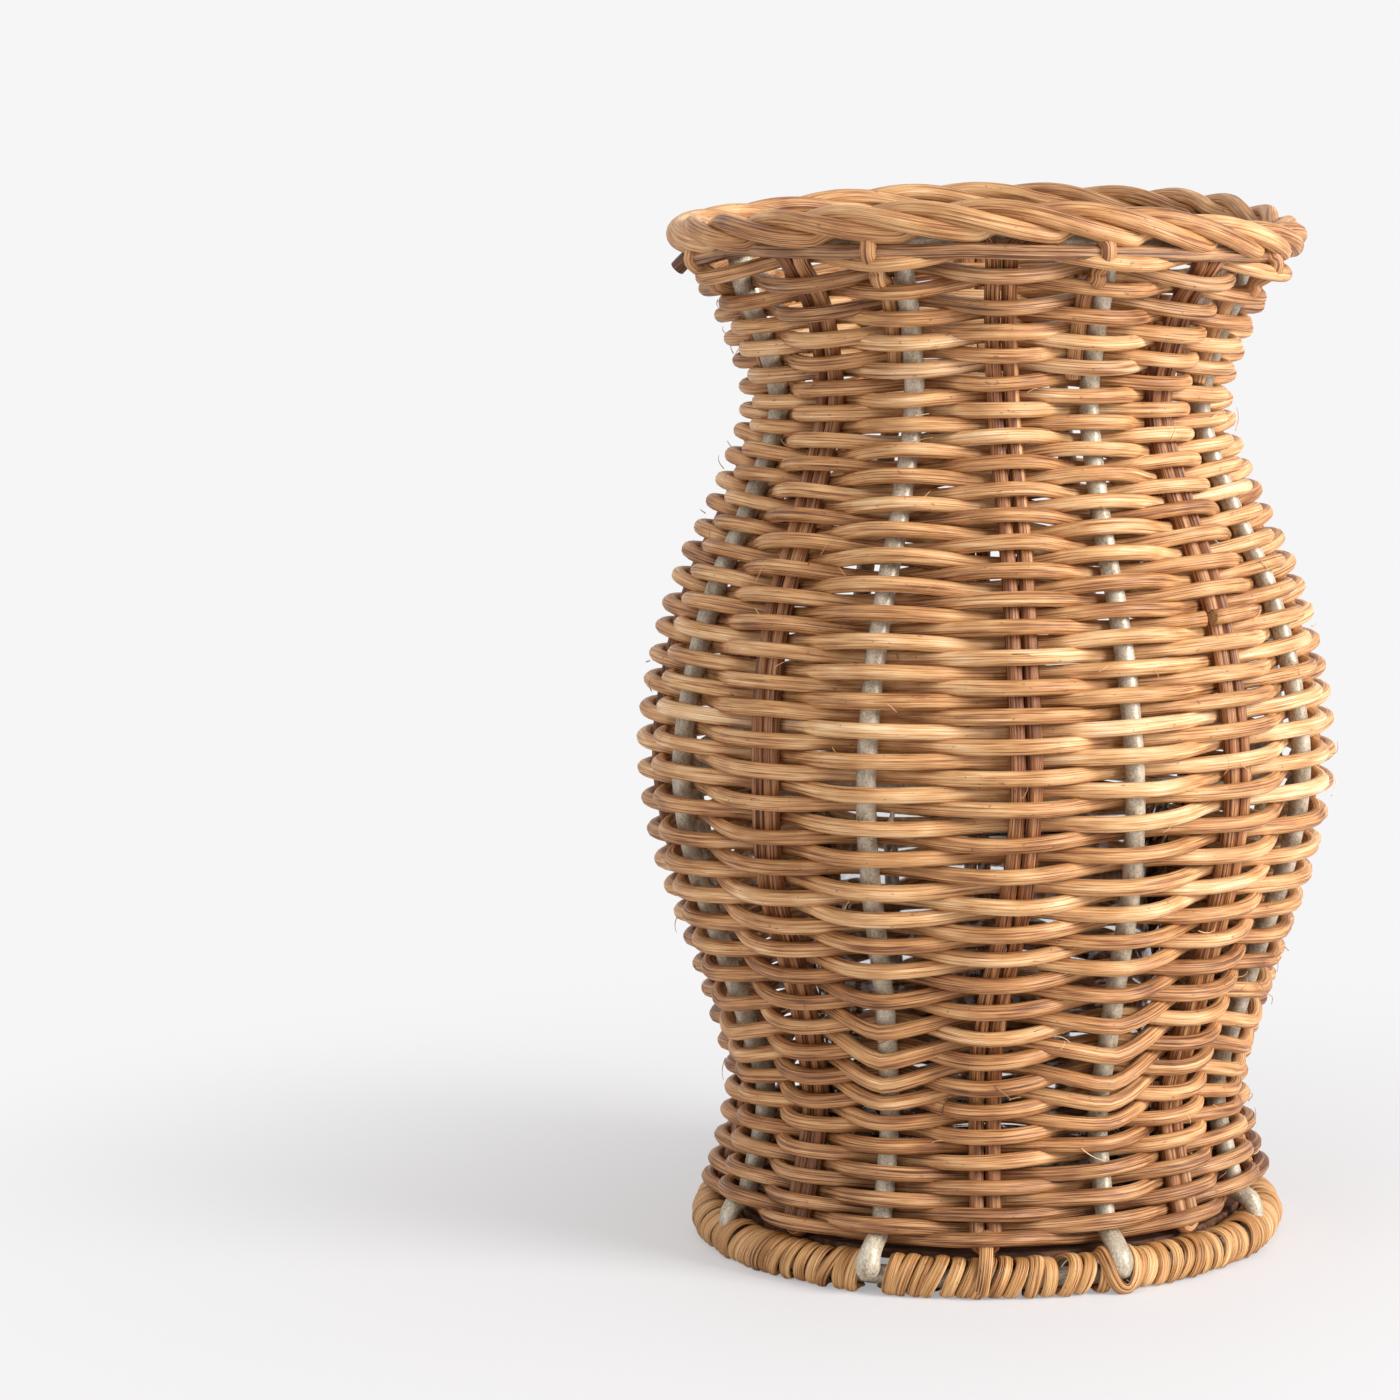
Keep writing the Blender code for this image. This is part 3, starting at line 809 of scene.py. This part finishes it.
def build_weavers(materials):
    """Two families of canes, end to end."""
    for family, ends in CANE_ENDS.items():
        for cane, (start, end) in enumerate(zip(ends, ends[1:])):
            seed = 300 + 10 * cane + (family == "b")
            weaver = weaver_tube(family, start, end, seed)
            piece = build_piece(f"cane_weaver_{family}_{cane + 1}", [weaver], materials)
            dress(piece, "honey_cane", f"weaver_{family}_{cane + 1}")


# Stakes and rope rim

def rim_strand(stake, slot, seed):
    """The upper end of a stake: up inside the rope, over its top, down its outside and under."""
    source = np.random.default_rng(seed)
    share = np.linspace(0, 1, 15)
    run = RIM_RUN * source.uniform(0.96, 1.04)
    lay = source.uniform(0.96, 1.05)
    turn = RIM_ENTRY - RIM_TWIST * share
    angle = slot + RIM_SHIFT + math.radians(source.uniform(-0.8, 0.8)) + run * share
    radius = RIM_RADIUS + RIM_LAY_OUT * lay * np.cos(turn)
    height = RIM_HEIGHT + RIM_LAY_UP * lay * np.sin(turn)
    rise = [
        place(UNDER_ROPE_RADIUS, stake, 0.2138),
        place(UNDER_ROPE_RADIUS + 0.0001, (2 * stake + angle[0]) / 3, 0.2156),
    ]
    tuck = [
        place(RIM_RADIUS - 0.0006, angle[-1] + math.radians(2.0), RIM_HEIGHT - 0.0013),
        place(RIM_RADIUS - 0.0016, angle[-1] + math.radians(4.5), RIM_HEIGHT - 0.0004),
    ]
    return np.vstack([rise, place(radius, angle, height), tuck])


def leg(step, offset, bottom):
    """The part of a stake in the wall, beside the middle of its step."""
    heights = np.linspace(bottom, LEG_TOP, 40)
    angle = stake_angle(step, heights) + offset / wall_radius(heights)
    return place(wall_radius(heights), angle, heights)


def stake_tube(path, stretches, tones, browns, tone_seed, seed):
    """A stake along the path. Each stretch is a number of points and whether it lies in the
    rope, where the cane is thicker. Tones and browns are those of the leg and of the rope."""
    in_rope = np.concatenate([np.full(count, float(inside)) for count, inside in stretches])
    in_rope = np.convolve(np.pad(in_rope, 3, mode="edge"), np.ones(7) / 7, mode="valid")
    centres = smooth(path, STAKE_SAMPLES)
    samples = np.arange(len(centres))
    share = np.interp(samples / STAKE_SAMPLES, np.arange(len(path)), in_rope)
    radii = LEG_RADIUS + (RIM_STRAND_RADIUS - LEG_RADIUS) * share
    tone = 0.13 * drift(tone_seed, samples * STAKE_SAMPLE_LENGTH, 0.05)
    tone = tone + tones[0] + (tones[1] - tones[0]) * share
    brown = browns[0] + (browns[1] - browns[0]) * share
    return tube(centres, radial(centres), radii, radii, tone=tone, brown=brown, sides=STAKE_SIDES,
                seed=seed)


def build_pairs(materials):
    """Each pair of stakes is one cane with a hairpin bend under the lowest row."""
    spread_angle = LEG_SPREAD_UNDER_ROPE / UNDER_ROPE_RADIUS
    radius = wall_radius(LEG_BOTTOM)
    for index in range(ROD_COUNT):
        step = 2 * index + 1
        middle = FIRST_ROD_ANGLE + STEP_ANGLE * step
        foot = stake_angle(step, LEG_BOTTOM)
        top = stake_angle(step, STAKE_TOP)
        left = leg(step, -LEG_OFFSET, LEG_BOTTOM)
        right = leg(step, LEG_OFFSET, LEG_BOTTOM)
        left_strand = rim_strand(top - spread_angle, middle - STEP_ANGLE / 3, 800 + index)
        right_strand = rim_strand(top + spread_angle, middle + STEP_ANGLE / 3, 820 + index)
        bend = [place(radius, foot + across * LEG_OFFSET / radius, LEG_BOTTOM - down * LEG_OFFSET)
                for across, down in ((-0.75, 0.7), (0.0, 1.05), (0.75, 0.7))]
        path = np.vstack([left_strand[::-1], left[::-1], bend, right, right_strand])
        # The first five points of each strand look like the legs
        strand = len(left_strand) - 5
        legs = len(path) - 2 * strand
        stretches = ((strand, True), (legs, False), (strand, True))
        pair = stake_tube(path, stretches, (0.08, 0.03), (1.0, 0.05), 60 + index, 500 + index)
        piece = build_piece(f"cane_pair_{index + 1}", [pair], materials)
        dress(piece, "brown_cane", f"stake_pair_{index + 1}")


def over_last_turn(angle):
    """The way of a side stake from under the rope, over the last turn and in behind the next."""
    way = (
        (0.0607, 0.2078), (0.0614, 0.2098), (0.0640, 0.2114), (0.0659, 0.2130), (0.0656, 0.2149),
        (0.0638, 0.2171),
    )
    return [place(radius, angle, height) for radius, height in way]


def build_side_stakes(materials):
    """Single stakes beside the rods, from just above the neck into the rope."""
    for index in range(ROD_COUNT):
        step = 2 * index
        top = stake_angle(step, STAKE_TOP) - SIDE_OFFSET / UNDER_ROPE_RADIUS
        # The leg stops short of the last turn, and the strand starts past its rise
        in_wall = leg(step, -SIDE_OFFSET, SIDE_BOTTOM)[:-7:2]
        strand = rim_strand(top, FIRST_ROD_ANGLE + STEP_ANGLE * step, 840 + index)[4:]
        straight = np.vstack([in_wall, over_last_turn(top)])
        path = np.vstack([straight, strand])
        stretches = ((len(straight) + 1, False), (len(strand) - 1, True))
        stake = stake_tube(path, stretches, (0.04, 0.04), (0.30, 0.02), 160 + index, 600 + index)
        piece = build_piece(f"cane_side_{index + 1}", [stake], materials)
        dress(piece, "pale_cane", f"side_stake_{index + 1}")


def build_loose_end(materials):
    """The cut end of a cane that sticks out under the rope at the left."""
    points = [(-0.0590, -0.0150, 0.2155), (-0.0612, -0.0135, 0.2142), (-0.0638, -0.0120, 0.2120),
              (-0.0656, -0.0112, 0.2102)]
    centres = smooth(points, 5)
    end = tube(centres, radial(centres), CANE_HALF_WIDTH, CANE_HALF_HEIGHT, tone=-0.2, brown=1.0,
               seed=77)
    dress(build_piece("cane_loose_end", [end], materials), "honey_cane")


def build_fibres(materials):
    """Fine torn fibres that stand off the canes."""
    count = 170
    samples = 7
    stand_off = 0.0052
    source = np.random.default_rng(2024)
    radii = np.linspace(0.00012, 0.00005, samples)
    fibres = []
    for index in range(count):
        height = source.uniform(0.014, 0.212)
        angle = source.uniform(-math.pi, math.pi)
        radius = wall_radius(height) + stand_off
        side = source.uniform(-1, 1)
        length = source.uniform(0.002, 0.006)
        bend = source.uniform(-0.6, 0.6)
        centres = []
        for share in np.linspace(0, 1, samples):
            along = length * share
            heading = side + bend * share
            out = 0.0008 * math.sin(2.4 * share) - 0.0006
            turned = angle + along * math.cos(heading) / radius
            centres.append(place(radius + out, turned, height + along * math.sin(heading)))
        fibres.append(tube(centres, radial(centres), radii, radii, tone=source.uniform(-0.2, 0.3),
                           sides=5, seed=index))
    dress(build_piece("cane_fibres", fibres, materials), "honey_cane")


# Lashing

def strip(centres, outward, seed):
    """A flat strip of split cane, round at its edges and cut flat where it meets the table."""
    tone = 0.14 * drift(seed, np.arange(len(centres)) * MILLIMETRE, 0.02)
    made = tube(centres, outward, STRIP_HALF_THICKNESS, STRIP_HALF_WIDTH, tone=tone, sides=14,
                seed=seed)
    made.points[:, 2] = np.maximum(made.points[:, 2], LOWEST)
    return made


def lashing_end(step):
    """How far from a rod's middle the lashing beside it ends, as an angle."""
    bare = step % STAKE_STEPS in FRONT_RODS
    return (LASHING_GAP_AT_BARE_FOOT if bare else LASHING_GAP) / BASE_RADIUS


def bay_strip(index):
    """A strip wound round one bay of the base ring, tighter at its start."""
    per_turn = 24
    tightening, slant_width = 0.14, 0.0019
    width_share, height_share = 1.30, 1.26
    left, right = 2 * index, 2 * index + 2
    start = stake_angle(left, FOOT_HEIGHT) + lashing_end(left)
    end = stake_angle(right, FOOT_HEIGHT) - lashing_end(right)
    turns = np.arange(STRIP_TURNS * per_turn + 1) / per_turn
    wind = math.radians(-100) - math.tau * turns
    share = turns / STRIP_TURNS
    along = share + tightening * share * (share - 1) + 0.013 * drift(720 + index, turns, 1.0)
    slant = slant_width * np.sin(wind) * (1 + 0.6 * drift(780 + index, turns, 1.3))
    angle = start + (end - start) * np.clip(along, 0, 1) + slant / BASE_RADIUS
    lay = STRIP_LAY * (1 + 0.08 * drift(740 + index, turns, 0.8))
    out = width_share * lay * np.cos(wind)
    up = np.maximum(height_share * lay * np.sin(wind), STRIP_HALF_THICKNESS - BASE_HEIGHT)
    outward = np.stack(
        [np.cos(wind) * np.cos(angle), np.cos(wind) * np.sin(angle), np.sin(wind)], axis=-1
    )
    return strip(place(BASE_RADIUS + out, angle, BASE_HEIGHT + up), outward, 700 + index)


def build_lashing(materials):
    """A strip for each bay. The one at the front has two more turns, over a pair and a foot."""
    for index in range(ROD_COUNT):
        strips = [bay_strip(index)]
        if index == ROD_COUNT - 1:
            strips += [hairpin_tie(), foot_loop()]
        piece = build_piece(f"lashing_{index + 1}", strips, materials)
        dress(piece, "split_cane_lashing", f"base_lashing_{index + 1}")


def loop_strip(middle_degrees, points, middle, seed):
    """A strip through points of degrees beside the middle, radius and height. It faces away from
    the middle, given as radius and height."""
    centres = smooth([place(radius, math.radians(middle_degrees + degrees), height)
                      for degrees, radius, height in points], 8)
    radius, height = middle
    return strip(centres, centres - place(radius, math.radians(middle_degrees), height), seed)


def hairpin_tie():
    """The one turn that also goes up over the hairpin bend of the front pair."""
    degrees = math.degrees(stake_angle(STAKE_STEPS - 1, LEG_BOTTOM)) + 0.2
    points = (
        (-1.4, 0.0600, 0.0006), (-1.0, 0.0640, 0.0015), (-0.5, 0.0651, 0.0045),
        (-0.1, 0.0634, 0.0080), (0.0, 0.0606, 0.0112), (0.1, 0.0586, 0.0128),
        (0.2, 0.0562, 0.0118), (0.3, 0.0560, 0.0070),
    )
    return loop_strip(degrees, points, (0.0590, 0.0050), 760)


def foot_loop():
    """A turn that hangs in a loop round the foot of the rod to the right of the front."""
    degrees = math.degrees(stake_angle(0, FOOT_HEIGHT))
    points = (
        (-3.6, 0.0570, 0.0060), (-3.4, 0.0612, 0.0084), (-3.1, 0.0645, 0.0066),
        (-2.4, 0.0656, 0.0038), (-1.0, 0.0658, 0.0015), (0.8, 0.0660, 0.0012),
        (2.2, 0.0660, 0.0035), (2.9, 0.0648, 0.0066), (3.2, 0.0614, 0.0084),
        (3.3, 0.0572, 0.0062),
    )
    return loop_strip(degrees, points, (0.0600, 0.0045), 761)


# Glass

def glass_profile(top, height):
    """Radii and rises, up the outside from the middle of the base and down the inside again."""
    bottom = top - 0.0050
    wall = 0.0020
    base = 0.0090
    taper = (top - bottom) / height
    half_way = bottom + taper * height * 0.5
    outside = [
        (0.0, 0.0012), (bottom - 0.010, 0.0010), (bottom - 0.006, 0.0), (bottom - 0.0022, 0.0004),
        (bottom - 0.0004, 0.0022), (bottom + 0.0002, 0.0050), (half_way, height * 0.5),
        (top, height - 0.0016), (top - 0.0003, height - 0.0004), (top - wall / 2, height),
    ]
    inside = [
        (top - wall + 0.0003, height - 0.0004), (top - wall, height - 0.0016),
        (half_way - wall, height * 0.5), (bottom + taper * base - wall, base + 0.0040),
        (bottom - wall - 0.0008, base + 0.0012), (bottom - wall - 0.0035, base),
        (0.0, base - 0.0003),
    ]
    return outside + inside


def build_glass(material):
    low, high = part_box("glass_liner")
    profile = glass_profile(high.x, high.z - low.z)
    sides = 96
    points = []
    faces = []
    for radius, rise in profile:
        for j in range(sides):
            turn = math.tau * j / sides
            points.append((radius * math.cos(turn), radius * math.sin(turn), low.z + rise))
    for i in range(len(profile) - 1):
        for j in range(sides):
            k = (j + 1) % sides
            faces.append((i * sides + j, i * sides + k, (i + 1) * sides + k, (i + 1) * sides + j))
    mesh = bpy.data.meshes.new("glass_tumbler")
    mesh.from_pydata(points, [], faces)
    mesh.materials.append(material)
    mesh.shade_smooth()
    piece = bpy.data.objects.new("glass_tumbler", mesh)
    bpy.context.scene.collection.objects.link(piece)
    # The profile's two ends lie on the axis, so their points are made one
    weld = piece.modifiers.new("Weld", "WELD")
    weld.merge_threshold = 0.00002
    dress(piece, "clear_glass", "glass_liner", body=GLASS_INSERT)


# Studio

def build_floor():
    """A pale floor with a soft shadow near the vase. Further out it is the background's white."""
    bpy.ops.mesh.primitive_circle_add(vertices=96, radius=FLOOR_RADIUS, fill_type="NGON")
    floor = bpy.context.object
    floor.name = "floor"
    floor.location.z = -0.0001
    material, tree, shader = new_material("Floor")
    shader.inputs["Base Color"].default_value = (0.76, 0.765, 0.785, 1.0)
    shader.inputs["Roughness"].default_value = 0.6
    shader.inputs["Specular IOR Level"].default_value = 0.2
    glow = tree.nodes.new("ShaderNodeEmission")
    glow.inputs["Color"].default_value = (*[BACKGROUND * part for part in WHITE], 1.0)
    distance = tree.nodes.new("ShaderNodeVectorMath")
    distance.operation = "LENGTH"
    tree.links.new(object_place(tree), distance.inputs[0])
    far = spread(tree, distance.outputs["Value"], *SHADOW_REACH)
    factor = maths(tree, "MULTIPLY_ADD", far, 1 - FLOOR_GLOW, FLOOR_GLOW)
    path = tree.nodes.new("ShaderNodeLightPath")
    factor = maths(tree, "MULTIPLY", factor, path.outputs["Is Camera Ray"])
    mix = tree.nodes.new("ShaderNodeMixShader")
    tree.links.new(factor, mix.inputs["Fac"])
    tree.links.new(shader.outputs["BSDF"], mix.inputs[1])
    tree.links.new(glow.outputs["Emission"], mix.inputs[2])
    tree.links.new(mix.outputs["Shader"], tree.nodes["Material Output"].inputs["Surface"])
    floor.data.materials.append(material)


def build_world():
    """White for the camera and in glass and gloss, plainer for the light on the vase."""
    world = bpy.data.worlds.new("Studio")
    bpy.context.scene.world = world
    world.use_nodes = True
    tree = world.node_tree
    background = tree.nodes["Background"]
    path = tree.nodes.new("ShaderNodeLightPath").outputs
    seen = maths(tree, "MAXIMUM", path["Is Camera Ray"], path["Is Glossy Ray"])
    seen = maths(tree, "MAXIMUM", seen, path["Is Transmission Ray"])
    strength = maths(tree, "MULTIPLY_ADD", seen, BACKGROUND - SKY, SKY)
    background.inputs["Color"].default_value = (*WHITE, 1.0)
    tree.links.new(strength, background.inputs["Strength"])


def build_lamp(name, location, size, power, colour):
    lamp = bpy.data.lights.new(name, "AREA")
    lamp.shape = "DISK"
    lamp.size = size
    lamp.energy = power
    lamp.color = colour
    lamp_object = bpy.data.objects.new(name, lamp)
    lamp_object.location = location
    lamp_object.rotation_mode = "QUATERNION"
    direction = Vector(LAMP_TARGET) - Vector(location)
    lamp_object.rotation_quaternion = direction.to_track_quat("-Z", "Y")
    bpy.context.scene.collection.objects.link(lamp_object)


def build_camera():
    """The photograph's view: level sideways, tilted down, with the vase right of the middle."""
    camera = bpy.data.cameras.new("camera")
    camera.sensor_width = 36
    camera.lens = FOCAL_PIXELS / IMAGE_WIDTH * camera.sensor_width
    camera.shift_x = -(AXIS_COLUMN - IMAGE_WIDTH / 2) / IMAGE_WIDTH
    camera_object = bpy.data.objects.new("camera", camera)
    camera_object.location = CAMERA_PLACE
    camera_object.rotation_euler = (math.radians(90) - CAMERA_TILT, 0.0, 0.0)
    bpy.context.scene.collection.objects.link(camera_object)
    bpy.context.scene.camera = camera_object


def build():
    build_camera()
    build_world()
    build_floor()
    for lamp in LAMPS:
        build_lamp(*lamp)
    steel = steel_material()
    cut = cut_material()
    cane = [cane_material("Honey cane", HONEY, BROWN, 1.15, 3100), cut]
    stake = [
        cane_material("Stake cane", HONEY, RED, 1.2, 2900, streak_share=0.3, brown_streaks=0.5), cut
    ]
    split = [cane_material("Split cane", STRAW, BROWN, 1.5, 3000, ridge=1.0), cut]
    build_rods(steel)
    build_ring("steel_base_ring", "base_ring", steel)
    build_ring("steel_top_ring", "top_ring", steel)
    build_ring("steel_belly_hoop", "belly_hoop", steel)
    build_tie_wire(steel)
    build_weavers(cane)
    build_loose_end(cane)
    build_fibres(cane)
    build_pairs(stake)
    build_side_stakes(stake)
    build_lashing(split)
    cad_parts["floor_board"].data.materials.clear()
    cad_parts["floor_board"].data.materials.append(board_material())
    build_glass(glass_material())


build()
bpy.context.scene.view_settings.view_transform = "Standard"
